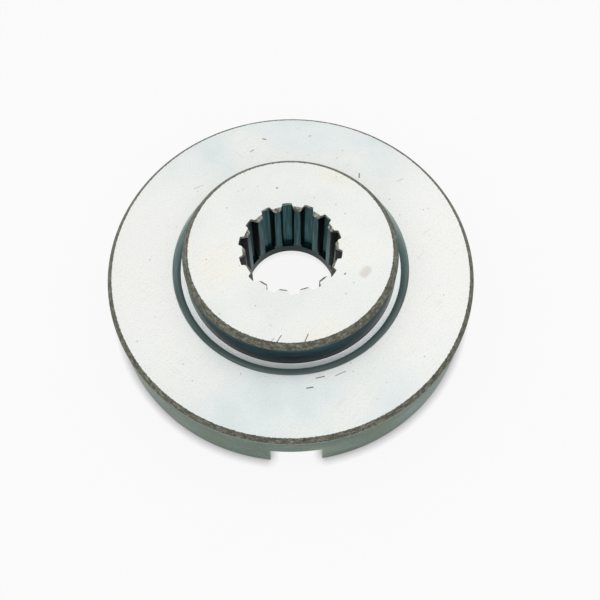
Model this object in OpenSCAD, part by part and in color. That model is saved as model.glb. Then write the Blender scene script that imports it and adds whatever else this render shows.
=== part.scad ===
// Flange of a string trimmer's gear head: one turned and broached steel piece.
// It slides on the splined output shaft, centres the cutter on its raised boss
// and clamps it against its wide face. Units are millimetres.
// +Z is the shaft axis, towards the cutter, and z = 0 is the rim's lower edge.
// The rim's notch faces -Y.

/* [Disc] */
// Diameter over the rim
disc_d = 44; // [40:0.5:56]
// Height from the rim's lower edge to the cutter's seat
seat_h = 8; // [6:0.1:12]
// Thickness of the plate between the seat and the hollow underneath
plate_t = 3.6; // [2.4:0.1:4.2]
// Width of the bevel round the seat
seat_bevel = 0.5; // [0.2:0.05:1]

/* [Rim] */
// Wall thickness of the rim, below the plate
rim_t = 3; // [2:0.1:5]
// Width of the bevels on the rim's lower edge
foot_bevel = 0.4; // [0.1:0.05:0.8]

/* [Boss] */
// Diameter of the boss that centres the cutter
boss_d = 25.2; // [20:0.1:28]
// Height of the boss above the seat
boss_h = 4; // [2:0.1:6]
// Width of the bevel round the boss
boss_bevel = 0.65; // [0.2:0.05:1.2]

/* [Groove] */
// Width of the relief groove round the boss, measured on the seat
groove_w = 1.6; // [1:0.05:2.4]
// Width of the groove's flat floor, against the boss
groove_floor_w = 0.65; // [0.2:0.05:0.9]
// Depth of the groove below the seat
groove_depth = 0.45; // [0.2:0.05:1]

/* [Hub] */
// Outer diameter of the hub under the plate
hub_d = 18; // [15:0.5:24]
// How far the hub's end stays above the rim's lower edge
hub_recess = 1; // [0:0.1:2]
// Width of the bevel on the hub's outer edge
hub_bevel = 0.4; // [0.1:0.05:0.8]
// Radius of the two inside corners under the plate
corner_r = 1; // [0.4:0.1:1.5]

/* [Spline] */
// Number of teeth
tooth_count = 14; // [8:1:16]
// Diameter at the bottom of the tooth spaces
spline_major_d = 12.1; // [11.6:0.1:13.4]
// Diameter over the tooth tips
spline_minor_d = 10.5; // [10:0.1:10.9]
// Length of the full-depth tooth spaces, from the boss's face
spline_len = 8.85; // [6:0.05:9.5]
// Width of each tooth space at its bottom
space_w = 1.05; // [0.6:0.05:1.2]
// Angle between a flank and the middle line of its tooth space
flank_angle = 17.6; // [10:0.1:20]
// Width of the lead-in on the tooth tips
lead_in = 0.35; // [0.1:0.05:0.5]
// Length of the lead-in on the tooth tips
lead_in_len = 0.45; // [0.2:0.05:0.8]
// Turn of the spline about the axis, in degrees
spline_turn = 3; // [0:0.5:25]

/* [Bore] */
// Diameter of the plain bore under the teeth
bore_d = 11; // [10.95:0.05:11.5]
// Width of the bevel at the bore's lower end
bore_bevel = 0.3; // [0.1:0.05:0.6]

/* [Notch] */
// Width of the notch in the rim
notch_w = 6; // [4.5:0.1:10]
// Height of the notch above the rim's lower edge
notch_h = 4.4; // [2:0.1:5]
// Turn of the notch from -Y about the axis, in degrees
notch_turn = 0.5; // [0:0.5:90]

/* [Hidden] */
$fn = 128;

// Radii and heights that the section needs
disc_r = disc_d / 2;
rim_inner_r = disc_r - rim_t;
boss_r = boss_d / 2;
hub_r = hub_d / 2;
major_r = spline_major_d / 2;
minor_r = spline_minor_d / 2;
bore_r = bore_d / 2;
groove_r = boss_r + groove_w;
groove_floor_r = boss_r + groove_floor_w;
boss_top = seat_h + boss_h;
hollow_top = seat_h - plate_t;
groove_floor_z = seat_h - groove_depth;
spaces_end = boss_top - spline_len;
// The spaces run out to the bore, and the tips bevel to it, at 45 degrees
runout = major_r - bore_r;
tip_bevel = bore_r - minor_r;
// How far cutting shapes reach past the faces they cut
over = 0.5;
// Slope of the lead-in, for carrying it past the boss's face
lead_in_slope = lead_in / lead_in_len;

// Outline of the solid body on one side of the axis, without its bore
module body_outline() {
    polygon([
        [0, hub_recess],
        [hub_r - hub_bevel, hub_recess],
        [hub_r, hub_recess + hub_bevel],
        [hub_r, hollow_top],
        [rim_inner_r, hollow_top],
        [rim_inner_r, foot_bevel],
        [rim_inner_r + foot_bevel, 0],
        [disc_r - foot_bevel, 0],
        [disc_r, foot_bevel],
        [disc_r, seat_h - seat_bevel],
        [disc_r - seat_bevel, seat_h],
        [groove_r, seat_h],
        [groove_floor_r, groove_floor_z],
        [boss_r, groove_floor_z],
        [boss_r, boss_top - boss_bevel],
        [boss_r - boss_bevel, boss_top],
        [0, boss_top]
    ]);
    translate([hub_r, hollow_top]) corner(1);
    translate([rim_inner_r, hollow_top]) corner(-1);
}

// Rounded filling of an inside corner under the plate; side is 1 or -1
module corner(side) {
    mirror([side < 0 ? 1 : 0, 0])
        difference() {
            translate([-over, -corner_r]) square([corner_r + over, corner_r + over]);
            translate([corner_r, -corner_r]) circle(r = corner_r);
        }
}

// Outline of what the round bore takes away
module bore_outline() {
    polygon([
        [0, hub_recess - over],
        [bore_r + bore_bevel + over, hub_recess - over],
        [bore_r, hub_recess + bore_bevel],
        [bore_r, spaces_end],
        [minor_r, spaces_end + tip_bevel],
        [minor_r, boss_top - lead_in_len],
        [minor_r + lead_in + over * lead_in_slope, boss_top + over],
        [0, boss_top + over]
    ]);
}

// Round envelope of the tooth spaces, closing at the lower end
module spaces_outline() {
    polygon([
        [0, spaces_end - runout],
        [bore_r, spaces_end - runout],
        [major_r, spaces_end],
        [major_r, boss_top + over],
        [0, boss_top + over]
    ]);
}

// Cross-section of one tooth space, lying along +X
module space_outline() {
    outer = major_r + over;
    inner = minor_r - over;
    outer_half = space_w / 2 - over * tan(flank_angle);
    inner_half = space_w / 2 + (major_r - inner) * tan(flank_angle);
    polygon([
        [inner, -inner_half],
        [outer, -outer_half],
        [outer, outer_half],
        [inner, inner_half]
    ]);
}

// All tooth spaces, as one cutting shape
module tooth_spaces() {
    intersection() {
        rotate_extrude() spaces_outline();
        translate([0, 0, spaces_end - runout - over])
            linear_extrude(height = spline_len + runout + 2 * over)
                for (i = [0 : tooth_count - 1])
                    rotate(90 + spline_turn + i * 360 / tooth_count) space_outline();
    }
}

// The notch, from inside the hollow to outside the rim
module rim_notch() {
    rotate([0, 0, notch_turn - 90])
        translate([rim_inner_r - corner_r, -notch_w / 2, -over])
            cube([rim_t + corner_r + over, notch_w, notch_h + over]);
}

module flange() {
    color([0.86, 0.88, 0.87])
        difference() {
            rotate_extrude() body_outline();
            rotate_extrude() bore_outline();
            tooth_spaces();
            rim_notch();
        }
}

flange();
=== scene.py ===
import math

import bmesh
import bpy
import numpy as np
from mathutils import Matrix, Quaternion, Vector


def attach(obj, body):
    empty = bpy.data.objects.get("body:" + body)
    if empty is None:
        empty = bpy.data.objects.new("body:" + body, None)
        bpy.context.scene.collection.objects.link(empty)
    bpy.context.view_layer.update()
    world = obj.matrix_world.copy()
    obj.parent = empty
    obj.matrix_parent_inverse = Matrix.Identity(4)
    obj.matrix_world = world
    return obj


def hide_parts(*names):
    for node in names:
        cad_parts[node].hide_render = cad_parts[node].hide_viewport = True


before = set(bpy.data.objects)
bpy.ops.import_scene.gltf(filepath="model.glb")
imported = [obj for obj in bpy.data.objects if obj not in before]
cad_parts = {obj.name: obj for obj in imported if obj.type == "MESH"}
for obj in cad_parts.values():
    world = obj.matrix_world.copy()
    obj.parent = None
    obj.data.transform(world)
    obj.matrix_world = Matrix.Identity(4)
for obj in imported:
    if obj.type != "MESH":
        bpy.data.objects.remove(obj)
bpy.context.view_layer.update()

MM = 0.001
SEED = 7

# Sizes of the flange, in millimetres, as in the CAD source
DISC_R = 22.0
SEAT_Z = 8.0
SEAT_BEVEL = 0.5
HOLLOW_TOP = 4.4
RIM_INNER_R = 19.0
FOOT_BEVEL = 0.4
BOSS_R = 12.6
BOSS_TOP = 12.0
BOSS_BEVEL = 0.65
GROOVE_R = 14.2
GROOVE_FLOOR_R = 13.25
GROOVE_FLOOR_Z = 7.55
HUB_R = 9.0
HUB_END = 1.0
HUB_BEVEL = 0.4
CORNER_R = 1.0
TEETH = 14
MAJOR_R = 6.05
MINOR_R = 5.25
SPACES_END = 3.15
SPACE_HALF = 0.525
FLANK_SLOPE = math.tan(math.radians(17.6))
LEAD_IN = 0.35
LEAD_IN_LEN = 0.45
SPLINE_TURN = math.radians(93.0)
BORE_R = 5.5
BORE_BEVEL = 0.3
NOTCH_W = 6.0
NOTCH_H = 4.4
NOTCH_TURN = math.radians(-89.5)

# The photograph's camera, fitted to the circles of the object
PHOTO_SIZE = 600
PHOTO_MIDDLE = PHOTO_SIZE / 2
CAMERA_DISTANCE = 95.17
CAMERA_ELEVATION = math.radians(61.92)
CAMERA_ROLL = math.radians(-1.19)
FOCAL_PIXELS = 791.1
SEAT_PIXEL = (290.79, 263.84)
SENSOR = 36.0

# Columns of the mesh in one pitch of the spline, by zone
COLUMNS_SPACE = 10
COLUMNS_FLANK = 12
COLUMNS_TIP = 14

ZONES = (
    "bore",
    "lead_in",
    "boss_face",
    "bevel",
    "boss_wall",
    "groove_floor",
    "groove_slope",
    "seat",
    "rim_wall",
    "underside",
)


def linear(red, green, blue):
    """A colour given as the screen shows it, from 0 to 255, as Blender's linear colour."""
    def channel(value):
        value /= 255
        return value / 12.92 if value <= 0.04045 else ((value + 0.055) / 1.055) ** 2.4
    return (channel(red), channel(green), channel(blue), 1.0)


# Shape

def column_angles():
    """Angles of the mesh's columns, with a column on every edge of every tooth."""
    pitch = 2 * math.pi / TEETH
    root = math.asin(SPACE_HALF / MAJOR_R)
    tip = math.asin((SPACE_HALF + (MAJOR_R - MINOR_R) * FLANK_SLOPE) / MINOR_R)
    one = np.concatenate([
        np.linspace(-root, root, COLUMNS_SPACE, endpoint=False),
        np.linspace(root, tip, COLUMNS_FLANK, endpoint=False),
        np.linspace(tip, pitch - tip, COLUMNS_TIP, endpoint=False),
        np.linspace(pitch - tip, pitch - root, COLUMNS_FLANK, endpoint=False),
    ])
    return np.concatenate([one + SPLINE_TURN + i * pitch for i in range(TEETH)])


def space_radius(angles):
    """How far a tooth space reaches at each angle, on its flanks and its bottom."""
    pitch = 2 * math.pi / TEETH
    off = np.abs((angles - SPLINE_TURN + pitch / 2) % pitch - pitch / 2)
    # On a flank, r sin(off) = half width + (MAJOR_R - r cos(off)) slope
    flank = (SPACE_HALF + MAJOR_R * FLANK_SLOPE) / (np.sin(off) + FLANK_SLOPE * np.cos(off))
    return np.minimum(flank, MAJOR_R)


def bore_radius(angles, height):
    """Radius of the splined bore at a height, for each angle."""
    if height < SPACES_END:
        tips = BORE_R
        reach = BORE_R + max(0.0, height - (SPACES_END - (MAJOR_R - BORE_R)))
    else:
        tips = max(MINOR_R, BORE_R - (height - SPACES_END))
        reach = MAJOR_R
    lead = LEAD_IN * max(0.0, height - (BOSS_TOP - LEAD_IN_LEN)) / LEAD_IN_LEN
    return np.maximum(np.minimum(space_radius(angles), reach), tips + lead)


def rounded(points, radii, steps=4):
    """The outline through points, each corner replaced by an arc of its radius."""
    out = []
    count = len(points)
    for i in range(count):
        here = np.array(points[i][:2])
        zone = points[i][2]
        radius = radii[i]
        if i in (0, count - 1) or radius == 0:
            out.append((here[0], here[1], zone))
            continue
        back = np.array(points[i - 1][:2]) - here
        ahead = np.array(points[i + 1][:2]) - here
        back /= np.linalg.norm(back)
        ahead /= np.linalg.norm(ahead)
        half = math.acos(np.clip(back @ ahead, -1, 1)) / 2
        reach = radius / math.tan(half)
        middle = here + (back + ahead) / np.linalg.norm(back + ahead) * radius / math.sin(half)
        first = here + back * reach - middle
        last = here + ahead * reach - middle
        turn = math.atan2(first[0] * last[1] - first[1] * last[0], first @ last)
        for step in range(steps + 1):
            a = turn * step / steps
            x = first[0] * math.cos(a) - first[1] * math.sin(a)
            y = first[0] * math.sin(a) + first[1] * math.cos(a)
            owner = zone if step >= steps / 2 else points[i - 1][2]
            out.append((middle[0] + x, middle[1] + y, owner))
    return out


def section():
    """The round part of the section, from the boss's face outwards to the bore's lower end."""
    soft = 0.07
    corners = [
        (7.0, BOSS_TOP, "boss_face", 0),
        (9.5, BOSS_TOP, "boss_face", 0),
        (BOSS_R - BOSS_BEVEL, BOSS_TOP, "bevel", soft),
        (BOSS_R, BOSS_TOP - BOSS_BEVEL, "boss_wall", 0.12),
        (BOSS_R, GROOVE_FLOOR_Z, "groove_floor", 0.1),
        (GROOVE_FLOOR_R, GROOVE_FLOOR_Z, "groove_slope", 0.08),
        (GROOVE_R, SEAT_Z, "seat", soft),
        (17.0, SEAT_Z, "seat", 0),
        (19.6, SEAT_Z, "seat", 0),
        (DISC_R - SEAT_BEVEL, SEAT_Z, "bevel", soft),
        (DISC_R, SEAT_Z - SEAT_BEVEL, "rim_wall", 0.12),
        (DISC_R, 4.0, "rim_wall", 0),
        (DISC_R, FOOT_BEVEL, "underside", soft),
        (DISC_R - FOOT_BEVEL, 0, "underside", soft),
        (RIM_INNER_R + FOOT_BEVEL, 0, "underside", soft),
        (RIM_INNER_R, FOOT_BEVEL, "underside", soft),
        (RIM_INNER_R, HOLLOW_TOP, "underside", CORNER_R),
        (HUB_R, HOLLOW_TOP, "underside", CORNER_R),
        (HUB_R, HUB_END + HUB_BEVEL, "underside", soft),
        (HUB_R - HUB_BEVEL, HUB_END, "underside", soft),
        (BORE_R + BORE_BEVEL, HUB_END, "underside", soft),
        (BORE_R, HUB_END + BORE_BEVEL, "bore", 0),
    ]
    return rounded([c[:3] for c in corners], [c[3] for c in corners])


def ripple(angles, waves, seed):
    """A smooth random wobble of about unit height round the axis."""
    rng = np.random.default_rng(seed)
    total = np.zeros_like(angles)
    for wave in waves:
        total += rng.normal() * np.cos(wave * angles + rng.uniform(0, 2 * math.pi))
    return total / math.sqrt(len(waves))


def ring_rows(angles):
    """Every ring of the mesh: radii, heights and the zone of the surface after it."""
    rows = []
    heights = np.concatenate([
        np.linspace(HUB_END + BORE_BEVEL + 0.3, SPACES_END - (MAJOR_R - BORE_R), 4),
        np.linspace(SPACES_END - (MAJOR_R - BORE_R), SPACES_END, 8)[1:],
        np.linspace(SPACES_END, SPACES_END + BORE_R - MINOR_R, 4)[1:],
        np.linspace(SPACES_END + BORE_R - MINOR_R, BOSS_TOP - LEAD_IN_LEN, 10)[1:],
        np.linspace(BOSS_TOP - LEAD_IN_LEN, BOSS_TOP, 4)[1:],
    ])
    for height in heights:
        zone = "lead_in" if height >= BOSS_TOP - LEAD_IN_LEN - 1e-6 else "bore"
        rows.append((bore_radius(angles, height), np.full_like(angles, height), zone))
    top = bore_radius(angles, BOSS_TOP)
    rows[-1] = (top, rows[-1][1], "boss_face")
    for share in (0.12, 0.5):
        radii = top + (6.6 - top) * share
        rows.append((radii, np.full_like(angles, BOSS_TOP), "boss_face"))
    rows.append((np.full_like(angles, 6.6), np.full_like(angles, BOSS_TOP), "boss_face"))
    chatter = ripple(angles, range(90, 300, 7), SEED) * 0.012
    for radius, height, zone in section():
        ragged_edge = chatter if zone == "bevel" else 0
        rows.append((radius + ragged_edge - abs(np.max(ragged_edge)), np.full_like(angles, height), zone))
    return rows


def flange_mesh(materials):
    """The whole flange as one closed grid, before the notch is cut."""
    angles = column_angles()
    rows = ring_rows(angles)
    count = len(angles)
    verts = []
    for radii, heights, _ in rows:
        verts.append(np.stack([radii * np.cos(angles), radii * np.sin(angles), heights], axis=1))
    verts = np.concatenate(verts) * MM
    faces = []
    zones = []
    for k, (_, _, zone) in enumerate(rows):
        ahead = (k + 1) % len(rows)
        for i in range(count):
            j = (i + 1) % count
            faces.append((k * count + i, k * count + j, ahead * count + j, ahead * count + i))
            zones.append(ZONES.index(zone))
    mesh = bpy.data.meshes.new("flange_shell")
    mesh.from_pydata(verts.tolist(), [], faces)
    mesh.polygons.foreach_set("material_index", zones)
    for material in materials:
        mesh.materials.append(material)
    mesh.update()
    return mesh


def cut_notch(piece, materials):
    """Cuts the notch through the rim with a box, and removes the box."""
    bm = bmesh.new()
    bmesh.ops.create_cube(bm, size=1.0)
    depth = DISC_R - RIM_INNER_R + CORNER_R + 1.0
    for vert in bm.verts:
        vert.co.x = (DISC_R + 1.0 - depth / 2 + vert.co.x * depth) * MM
        vert.co.y *= NOTCH_W * MM
        vert.co.z = (NOTCH_H if vert.co.z > 0 else -1.0) * MM
    mesh = bpy.data.meshes.new("notch_cutter")
    bm.to_mesh(mesh)
    bm.free()
    cutter = bpy.data.objects.new("notch_cutter", mesh)
    bpy.context.scene.collection.objects.link(cutter)
    cutter.rotation_euler.z = NOTCH_TURN
    mesh.materials.append(materials[ZONES.index("underside")])
    cut = piece.modifiers.new("notch", "BOOLEAN")
    cut.operation = "DIFFERENCE"
    cut.object = cutter
    cut.solver = "EXACT"
    cut.material_mode = "TRANSFER"
    bpy.context.view_layer.update()
    solid = bpy.data.meshes.new_from_object(
        piece.evaluated_get(bpy.context.evaluated_depsgraph_get())
    )
    piece.modifiers.clear()
    piece.data = solid
    bpy.data.objects.remove(cutter)


# Materials

class Shader:
    """Builds the node tree of one material, in millimetres of the object's own space."""

    def __init__(self, name):
        self.material = bpy.data.materials.new(name)
        self.material.use_nodes = True
        self.tree = self.material.node_tree
        self.base = self.tree.nodes["Principled BSDF"]
        coord = self.tree.nodes.new("ShaderNodeTexCoord")
        self.place = self.vector("MULTIPLY", coord.outputs["Object"], (1000, 1000, 1000))
        split = self.tree.nodes.new("ShaderNodeSeparateXYZ")
        self.link(self.place, split.inputs[0])
        self.x, self.y, self.height = split.outputs
        flat = self.vector("MULTIPLY", self.place, (1, 1, 0))
        self.radius = self.length(flat)
        self.angle = self.math("ARCTAN2", self.y, self.x)

    def link(self, source, socket):
        self.tree.links.new(source, socket)

    def put(self, value, socket):
        if isinstance(value, bpy.types.NodeSocket):
            self.link(value, socket)
        else:
            socket.default_value = value

    def math(self, kind, a, b=0.0, c=0.0, clamp=False):
        node = self.tree.nodes.new("ShaderNodeMath")
        node.operation = kind
        node.use_clamp = clamp
        for value, socket in zip((a, b, c), node.inputs):
            self.put(value, socket)
        return node.outputs[0]

    def vector(self, kind, a, b):
        node = self.tree.nodes.new("ShaderNodeVectorMath")
        node.operation = kind
        self.put(a, node.inputs[0])
        self.put(b, node.inputs[1])
        return node.outputs[0]

    def length(self, a):
        node = self.tree.nodes.new("ShaderNodeVectorMath")
        node.operation = "LENGTH"
        self.link(a, node.inputs[0])
        return node.outputs["Value"]

    def noise(self, scale, detail=3.0, stretch=None, roughness=0.5, polar=False):
        """Noise from 0 to 1; scale is in cells per millimetre."""
        node = self.tree.nodes.new("ShaderNodeTexNoise")
        node.inputs["Scale"].default_value = scale
        node.inputs["Detail"].default_value = detail
        node.inputs["Roughness"].default_value = roughness
        where = self.polar() if polar else self.place
        if stretch:
            where = self.vector("MULTIPLY", where, stretch)
        self.link(where, node.inputs["Vector"])
        return node.outputs["Fac"]

    def polar(self):
        """Radius, a seamless pair for the angle, and height, for marks that run round the axis."""
        if not hasattr(self, "_polar"):
            node = self.tree.nodes.new("ShaderNodeCombineXYZ")
            self.link(self.radius, node.inputs[0])
            self.link(self.math("MULTIPLY", self.angle, 4.0), node.inputs[1])
            self.link(self.height, node.inputs[2])
            self._polar = node.outputs[0]
        return self._polar

    def step(self, value, low, high):
        """0 below low and 1 above high, smooth between."""
        node = self.tree.nodes.new("ShaderNodeMapRange")
        node.interpolation_type = "SMOOTHSTEP"
        self.put(value, node.inputs["Value"])
        self.put(low, node.inputs["From Min"])
        self.put(high, node.inputs["From Max"])
        return node.outputs["Result"]

    def mix(self, factor, a, b):
        node = self.tree.nodes.new("ShaderNodeMix")
        node.data_type = "RGBA"
        self.put(factor, node.inputs["Factor"])
        self.put(a, node.inputs[6])
        self.put(b, node.inputs[7])
        return node.outputs[2]

    def ramp(self, value, stops):
        node = self.tree.nodes.new("ShaderNodeValToRGB")
        elements = node.color_ramp.elements
        while len(elements) < len(stops):
            elements.new(0.5)
        for element, (place, colour) in zip(elements, stops):
            element.position = place
            element.color = colour
        self.put(value, node.inputs["Fac"])
        return node.outputs["Color"]

    def stroke(self, start, end, width):
        """1 on a short line between two points of the object's plan, 0 off it."""
        middle = ((start[0] + end[0]) / 2, (start[1] + end[1]) / 2)
        half = math.dist(start, end) / 2
        turn = math.atan2(end[1] - start[1], end[0] - start[0])
        east = self.math("SUBTRACT", self.x, middle[0])
        north = self.math("SUBTRACT", self.y, middle[1])
        along = self.math(
            "ADD",
            self.math("MULTIPLY", east, math.cos(turn)),
            self.math("MULTIPLY", north, math.sin(turn)),
        )
        across = self.math(
            "SUBTRACT",
            self.math("MULTIPLY", north, math.cos(turn)),
            self.math("MULTIPLY", east, math.sin(turn)),
        )
        past = self.math("MAXIMUM", self.math("SUBTRACT", self.math("ABSOLUTE", along), half), 0.0)
        far = self.math("SQRT", self.math("ADD", self.math("POWER", past, 2.0),
                                          self.math("POWER", across, 2.0)))
        return self.math("SUBTRACT", 1.0, self.step(far, width * 0.4, width))

    def finish(self, colour, roughness, metallic, bump=None, bump_height=0.02):
        self.put(colour, self.base.inputs["Base Color"])
        self.put(roughness, self.base.inputs["Roughness"])
        self.base.inputs["Metallic"].default_value = metallic
        if bump is not None:
            node = self.tree.nodes.new("ShaderNodeBump")
            node.inputs["Strength"].default_value = 1.0
            node.inputs["Distance"].default_value = bump_height * MM
            self.link(bump, node.inputs["Height"])
            self.link(node.outputs["Normal"], self.base.inputs["Normal"])
        return self.material


def plated_face(name, tints, edge_radius, painted_sheen_share, marks, stains=()):
    """A flat turned face under bright plating, with grain, specks and marks, a painted sheen toward its left
    and right, and a painted dark reflection along its bevel's edge.
    """
    s = Shader(name)
    cloud = s.noise(0.11, 3.0)
    grain = s.noise(5.5, 4.0, roughness=0.65)
    colour = s.ramp(cloud, [(0.38, tints[0]), (0.5, tints[1]), (0.62, tints[2])])
    # Painted sheen: the face turns near white toward its left and right.
    painted_side_sheen = s.step(s.math("ABSOLUTE", s.math("COSINE", s.angle)), 0.45, 0.95)
    colour = s.mix(s.math("MULTIPLY", painted_side_sheen, painted_sheen_share), colour, linear(253, 253, 249))
    shade = s.step(grain, 0.36, 0.5)
    colour = s.mix(s.math("MULTIPLY", s.math("SUBTRACT", 1.0, shade), 0.22), colour, linear(176, 186, 182))
    # Faint hatching that crosses the face in two directions
    for slant, amount in ((0.8, 0.10), (-0.9, 0.07)):
        lines = s.tree.nodes.new("ShaderNodeTexNoise")
        turned = s.tree.nodes.new("ShaderNodeVectorRotate")
        turned.rotation_type = "Z_AXIS"
        turned.inputs["Angle"].default_value = slant
        s.link(s.place, turned.inputs["Vector"])
        s.link(s.vector("MULTIPLY", turned.outputs[0], (9.0, 0.3, 1.0)), lines.inputs["Vector"])
        lines.inputs["Scale"].default_value = 1.0
        lines.inputs["Detail"].default_value = 2.0
        where = s.math("MULTIPLY", s.step(lines.outputs["Fac"], 0.6, 0.7), s.step(cloud, 0.45, 0.6))
        colour = s.mix(s.math("MULTIPLY", where, amount * 1.6), colour, linear(150, 160, 155))
    # Sparse pits
    pits = s.tree.nodes.new("ShaderNodeTexVoronoi")
    pits.inputs["Scale"].default_value = 0.9
    s.link(s.place, pits.inputs["Vector"])
    chosen = s.math("GREATER_THAN", s.noise(0.7, 0.0), 0.56)
    dot = s.math("SUBTRACT", 1.0, s.step(pits.outputs["Distance"], 0.05, 0.11))
    colour = s.mix(s.math("MULTIPLY", s.math("MULTIPLY", dot, chosen), 0.5), colour, linear(112, 118, 110))
    for start, end, width, strength in marks:
        colour = s.mix(s.math("MULTIPLY", s.stroke(start, end, width), strength), colour, linear(70, 70, 62))
    for start, end, width, strength in stains:
        spot = s.math("MULTIPLY", s.stroke(start, end, width), strength)
        colour = s.mix(spot, colour, linear(168, 142, 112))
    # The ragged dark line where the face meets its bevel: a painted dark reflection of the bevel's rounded
    # edge
    jag = s.math("MULTIPLY", s.math("SUBTRACT", s.noise(4.5, 3.0), 0.5), 0.22)
    near = s.math("SUBTRACT", s.radius, edge_radius)
    ragged_edge = s.step(s.math("ADD", near, jag), -0.10, -0.03)
    colour = s.mix(ragged_edge, colour, linear(52, 54, 44))
    rough = s.math("ADD", s.math("MULTIPLY", grain, 0.16), 0.34)
    return s.finish(colour, rough, 0.35, bump=grain, bump_height=0.006)


def seat_material():
    marks = [
        ((-3.3, 18.5), (-2.9, 18.4), 0.12, 0.8),
        ((-4.9, 16.5), (-4.5, 16.8), 0.10, 0.6),
        ((2.75, 18.8), (2.95, 18.85), 0.10, 0.6),
        ((8.9, 12.2), (8.95, 12.8), 0.12, 0.8),
        ((2.6, -14.6), (3.5, -14.4), 0.08, 0.9),
        ((3.35, -13.25), (3.95, -13.1), 0.08, 0.8),
        ((4.75, -14.35), (5.9, -13.85), 0.07, 0.7),
        ((1.5, -15.75), (2.2, -15.65), 0.10, 0.9),
        ((-11.9, 11.0), (-10.9, 11.5), 0.10, 0.25),
        ((13.7, 11.5), (14.4, 11.9), 0.10, 0.25),
    ]
    tints = [linear(226, 236, 235), linear(236, 243, 242), linear(243, 246, 242)]
    return plated_face("plated_seat", tints, DISC_R - SEAT_BEVEL, 0.9, marks)


def boss_face_material():
    marks = [
        ((-1.75, -11.85), (-1.2, -11.0), 0.07, 0.9),
        ((-2.35, -11.75), (-2.0, -11.3), 0.06, 0.6),
        ((1.35, -11.8), (1.75, -10.9), 0.08, 0.9),
        ((-1.5, 8.2), (-1.4, 8.25), 0.12, 0.8),
        ((6.1, -3.6), (6.2, -3.5), 0.12, 0.8),
    ]
    stains = [((8.3, -3.6), (8.7, -3.1), 0.7, 0.28)]
    tints = [linear(238, 241, 238), linear(243, 245, 241), linear(246, 245, 236)]
    return plated_face("plated_boss_face", tints, BOSS_R - BOSS_BEVEL, 0.3, marks, stains)


def bevel_material():
    s = Shader("bevel_painted_reflection")
    coarse = s.noise(1.6, 4.0, stretch=(1.0, 1.0, 3.0), roughness=0.7)
    fine = s.noise(7.0, 3.0, roughness=0.7)
    blend = s.math("ADD", s.math("MULTIPLY", coarse, 0.6), s.math("MULTIPLY", fine, 0.4))
    # Dark, speckled brown-grey: a painted reflection of dark, warm surroundings on the bevel.
    colour = s.ramp(blend, [
        (0.34, linear(44, 44, 36)),
        (0.46, linear(88, 88, 76)),
        (0.54, linear(118, 118, 104)),
        (0.66, linear(170, 168, 152)),
    ])
    return s.finish(colour, 0.55, 0.3, bump=blend, bump_height=0.03)


def boss_wall_material():
    s = Shader("plated_boss_wall")
    streak = s.noise(0.9, 3.0, stretch=(0.4, 0.5, 2.6), polar=True)
    colour = s.ramp(streak, [
        (0.36, linear(0, 24, 34)),
        (0.48, linear(6, 50, 64)),
        (0.60, linear(18, 80, 92)),
    ])
    # Painted shade: the wall turns near black toward its foot in the groove.
    painted_foot_shade = s.math("ADD", s.height, s.math("MULTIPLY", s.math("SUBTRACT", streak, 0.5), 1.2))
    colour = s.mix(s.step(painted_foot_shade, 9.4, 8.7), colour, linear(3, 6, 9))
    return s.finish(colour, 0.28, 0.9, bump=s.noise(3.0, 3.0), bump_height=0.006)


def groove_floor_material():
    s = Shader("polished_groove_floor")
    fine = s.math("SINE", s.math("MULTIPLY", s.radius, 52.0))
    rings = s.math("ADD", s.math("MULTIPLY", fine, 0.5), 0.5)
    colour = s.mix(s.math("MULTIPLY", rings, 0.35), linear(243, 247, 246), linear(196, 206, 208))
    return s.finish(colour, 0.22, 0.45, bump=rings, bump_height=0.004)


def groove_slope_material():
    s = Shader("plated_groove_slope")
    fine = s.noise(5.0, 2.0, stretch=(1.0, 0.12, 1.0), polar=True)
    # Painted reflection of the dark boss wall: the slope is darker toward its inner edge.
    painted_reflection_fade = s.step(s.radius, GROOVE_FLOOR_R, GROOVE_R)
    tint = s.ramp(fine, [(0.35, linear(150, 174, 170)), (0.65, linear(204, 216, 212))])
    colour = s.mix(painted_reflection_fade, linear(124, 156, 152), tint)
    return s.finish(colour, 0.3, 0.5)


def rim_wall_material():
    s = Shader("plated_rim_wall")
    cloud = s.noise(0.16, 3.0, stretch=(1.0, 1.0, 1.6))
    cloth = s.noise(2.6, 4.0, roughness=0.6)
    tint = s.ramp(cloud, [
        (0.36, linear(66, 88, 62)),
        (0.46, linear(64, 98, 82)),
        (0.54, linear(76, 104, 96)),
        (0.64, linear(110, 122, 98)),
    ])
    colour = s.mix(s.math("MULTIPLY", s.step(cloth, 0.42, 0.62), 0.35), tint, linear(116, 136, 114))
    dark = s.step(s.noise(0.9, 3.0, stretch=(1.0, 1.0, 5.0)), 0.66, 0.72)
    colour = s.mix(s.math("MULTIPLY", dark, 0.5), colour, linear(40, 58, 44))
    # A rough painted highlight line under the top bevel, where its rounded edge catches the light
    painted_highlight_line = s.math("ADD", s.height, s.math("MULTIPLY", s.math("SUBTRACT", cloth, 0.5), 0.25))
    colour = s.mix(s.math("MULTIPLY", s.step(painted_highlight_line, 7.36, 7.46), 0.8), colour, linear(176, 184, 164))
    return s.finish(colour, 0.42, 0.85, bump=cloth, bump_height=0.012)


def bore_material():
    s = Shader("broached_bore")
    lines = s.noise(7.0, 3.0, stretch=(1.0, 1.0, 0.03))
    cloud = s.noise(0.8, 2.0)
    colour = s.ramp(lines, [
        (0.34, linear(2, 38, 42)),
        (0.50, linear(18, 72, 78)),
        (0.66, linear(50, 106, 110)),
    ])
    colour = s.mix(s.math("MULTIPLY", s.step(cloud, 0.45, 0.7), 0.4), colour, linear(24, 66, 54))
    # Painted shade: the bore turns darker toward its lower end.
    colour = s.mix(s.step(s.height, 3.6, 2.4), colour, linear(8, 34, 34))
    return s.finish(colour, 0.4, 0.9, bump=lines, bump_height=0.01)


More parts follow.
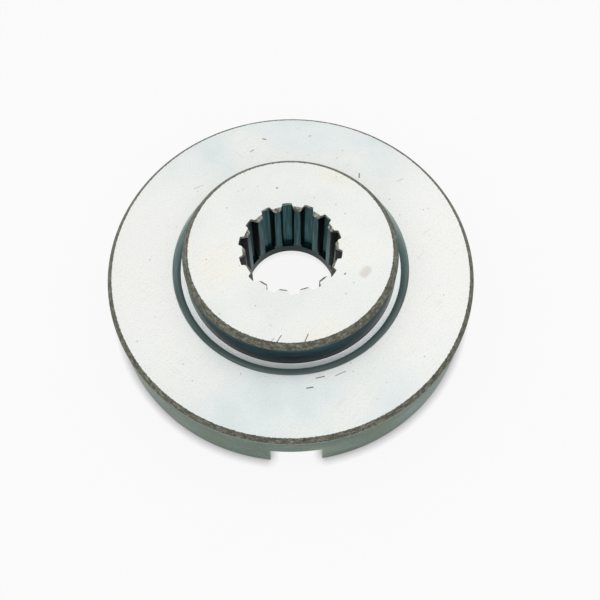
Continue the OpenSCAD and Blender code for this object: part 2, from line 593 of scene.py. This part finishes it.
def flank_shade_material():
    s = Shader("painted_flank_shade")
    lines = s.noise(6.0, 2.0, stretch=(1.0, 1.0, 0.04))
    # Near black: painted shade on the tooth flanks.
    colour = s.ramp(lines, [(0.4, linear(0, 4, 6)), (0.7, linear(12, 32, 36))])
    return s.finish(colour, 0.45, 0.9)


def lead_in_material():
    s = Shader("tooth_lead_in")
    blotch = s.noise(2.6, 3.0)
    colour = s.ramp(blotch, [
        (0.38, linear(96, 92, 76)),
        (0.50, linear(166, 166, 152)),
        (0.62, linear(206, 212, 202)),
    ])
    return s.finish(colour, 0.45, 0.3, bump=blotch, bump_height=0.01)


def underside_material():
    s = Shader("plated_underside")
    cloud = s.noise(0.2, 3.0)
    rings = s.noise(4.0, 2.0, stretch=(1.0, 0.06, 1.0), polar=True)
    colour = s.ramp(cloud, [(0.4, linear(120, 140, 128)), (0.6, linear(172, 184, 176))])
    colour = s.mix(s.math("MULTIPLY", s.step(rings, 0.45, 0.6), 0.3), colour, linear(206, 214, 208))
    return s.finish(colour, 0.45, 0.5, bump=rings, bump_height=0.01)


def make_flange():
    makers = {
        "bore": bore_material,
        "lead_in": lead_in_material,
        "boss_face": boss_face_material,
        "bevel": bevel_material,
        "boss_wall": boss_wall_material,
        "groove_floor": groove_floor_material,
        "groove_slope": groove_slope_material,
        "seat": seat_material,
        "rim_wall": rim_wall_material,
        "underside": underside_material,
    }
    materials = [makers[zone]() for zone in ZONES]
    piece = bpy.data.objects.new("flange_shell", flange_mesh(materials))
    bpy.context.scene.collection.objects.link(piece)
    cut_notch(piece, materials)
    paint_flank_shade(piece)
    piece.data.polygons.foreach_set("use_smooth", [True] * len(piece.data.polygons))
    piece.data.set_sharp_from_angle(angle=math.radians(35))
    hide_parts("flange")
    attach(piece, "root")
    return piece


def paint_flank_shade(piece):
    """Gives the sides of the teeth their own near-black material, painted shade on the flanks."""
    piece.data.materials.append(flank_shade_material())
    flank = len(piece.data.materials) - 1
    bore = ZONES.index("bore")
    for polygon in piece.data.polygons:
        if polygon.material_index != bore:
            continue
        outward = Vector((polygon.center.x, polygon.center.y, 0)).normalized()
        if abs(outward.dot(polygon.normal)) < 0.75 and abs(polygon.normal.z) < 0.2:
            polygon.material_index = flank


# Stage

def make_floor():
    size = 2.0
    mesh = bpy.data.meshes.new("floor")
    low = -0.02 * MM
    corners = [(-size, -size, low), (size, -size, low), (size, size, low), (-size, size, low)]
    mesh.from_pydata(corners, [], [(0, 1, 2, 3)])
    floor = bpy.data.objects.new("floor", mesh)
    bpy.context.scene.collection.objects.link(floor)
    material = bpy.data.materials.new("pale_floor")
    material.use_nodes = True
    tree = material.node_tree
    tree.nodes.clear()
    output = tree.nodes.new("ShaderNodeOutputMaterial")
    diffuse = tree.nodes.new("ShaderNodeBsdfDiffuse")
    diffuse.inputs["Color"].default_value = (0.85, 0.85, 0.85, 1)
    glow_with_painted_shadow = tree.nodes.new("ShaderNodeEmission")
    # Ambient occlusion darkens the floor's glow near the object: a painted contact shadow.
    near = tree.nodes.new("ShaderNodeAmbientOcclusion")
    near.samples = 8
    near.inputs["Distance"].default_value = 0.0011
    tree.links.new(near.outputs["Color"], glow_with_painted_shadow.inputs["Color"])
    share = tree.nodes.new("ShaderNodeMixShader")
    share.inputs[0].default_value = 0.9
    tree.links.new(diffuse.outputs[0], share.inputs[1])
    tree.links.new(glow_with_painted_shadow.outputs[0], share.inputs[2])
    paths = tree.nodes.new("ShaderNodeLightPath")
    seen = tree.nodes.new("ShaderNodeMath")
    seen.operation = "MAXIMUM"
    tree.links.new(paths.outputs["Is Camera Ray"], seen.inputs[0])
    tree.links.new(paths.outputs["Is Glossy Ray"], seen.inputs[1])
    mix = tree.nodes.new("ShaderNodeMixShader")
    tree.links.new(seen.outputs[0], mix.inputs[0])
    tree.links.new(diffuse.outputs[0], mix.inputs[1])
    tree.links.new(share.outputs[0], mix.inputs[2])
    back = tree.nodes.new("ShaderNodeNewGeometry")
    clear = tree.nodes.new("ShaderNodeBsdfTransparent")
    sided = tree.nodes.new("ShaderNodeMixShader")
    tree.links.new(back.outputs["Backfacing"], sided.inputs[0])
    tree.links.new(mix.outputs[0], sided.inputs[1])
    tree.links.new(clear.outputs[0], sided.inputs[2])
    tree.links.new(sided.outputs[0], output.inputs[0])
    mesh.materials.append(material)


def make_world():
    world = bpy.data.worlds.new("studio")
    bpy.context.scene.world = world
    world.use_nodes = True
    tree = world.node_tree
    tree.nodes.clear()
    output = tree.nodes.new("ShaderNodeOutputWorld")
    seen = tree.nodes.new("ShaderNodeBackground")
    seen.inputs["Color"].default_value = (1, 1, 1, 1)
    seen.inputs["Strength"].default_value = 1.0
    light = tree.nodes.new("ShaderNodeBackground")
    light.inputs["Color"].default_value = (1, 1, 1, 1)
    light.inputs["Strength"].default_value = 0.6
    paths = tree.nodes.new("ShaderNodeLightPath")
    first = tree.nodes.new("ShaderNodeMath")
    first.operation = "MAXIMUM"
    both = tree.nodes.new("ShaderNodeMath")
    both.operation = "MAXIMUM"
    tree.links.new(paths.outputs["Is Camera Ray"], first.inputs[0])
    tree.links.new(paths.outputs["Is Glossy Ray"], first.inputs[1])
    tree.links.new(first.outputs[0], both.inputs[0])
    tree.links.new(paths.outputs["Is Transmission Ray"], both.inputs[1])
    mix = tree.nodes.new("ShaderNodeMixShader")
    tree.links.new(both.outputs[0], mix.inputs[0])
    tree.links.new(light.outputs[0], mix.inputs[1])
    tree.links.new(seen.outputs[0], mix.inputs[2])
    tree.links.new(mix.outputs[0], output.inputs[0])


def soft_lamp(name, place, size, power):
    data = bpy.data.lights.new(name, "AREA")
    data.shape = "SQUARE"
    data.size = size
    data.energy = power
    lamp = bpy.data.objects.new(name, data)
    bpy.context.scene.collection.objects.link(lamp)
    lamp.location = place
    lamp.rotation_mode = "QUATERNION"
    lamp.rotation_quaternion = (-Vector(place)).to_track_quat("-Z", "Y")


def make_lights():
    soft_lamp("overhead", (0.05, 0.25, 0.6), 0.5, 0.5)
    soft_lamp("left_fill", (-0.5, -0.1, 0.35), 0.4, 0.2)


def make_camera():
    """A camera as the photograph's: the seat's middle falls on its pixel, with a small roll."""
    target = Vector((0, 0, SEAT_Z * MM))
    back = Vector((0, -math.cos(CAMERA_ELEVATION), math.sin(CAMERA_ELEVATION)))
    data = bpy.data.cameras.new("photo_camera")
    data.sensor_width = SENSOR
    data.lens = FOCAL_PIXELS / PHOTO_SIZE * SENSOR
    data.clip_start = 0.005
    data.clip_end = 10
    camera = bpy.data.objects.new("photo_camera", data)
    bpy.context.scene.collection.objects.link(camera)
    camera.location = target + back * CAMERA_DISTANCE * MM
    ahead = Vector((0, 0, -1))
    across = (SEAT_PIXEL[0] - PHOTO_MIDDLE) / FOCAL_PIXELS
    up = (PHOTO_MIDDLE - SEAT_PIXEL[1]) / FOCAL_PIXELS
    to_pixel = ahead.rotation_difference(Vector((across, up, -1)).normalized())
    centred = (-back).to_track_quat("-Z", "Y")
    camera.rotation_mode = "QUATERNION"
    camera.rotation_quaternion = centred @ Quaternion((0, 0, 1), CAMERA_ROLL) @ to_pixel.inverted()
    bpy.context.scene.camera = camera


make_camera()
make_flange()
make_floor()
make_world()
make_lights()
bpy.context.scene.view_settings.view_transform = "Standard"
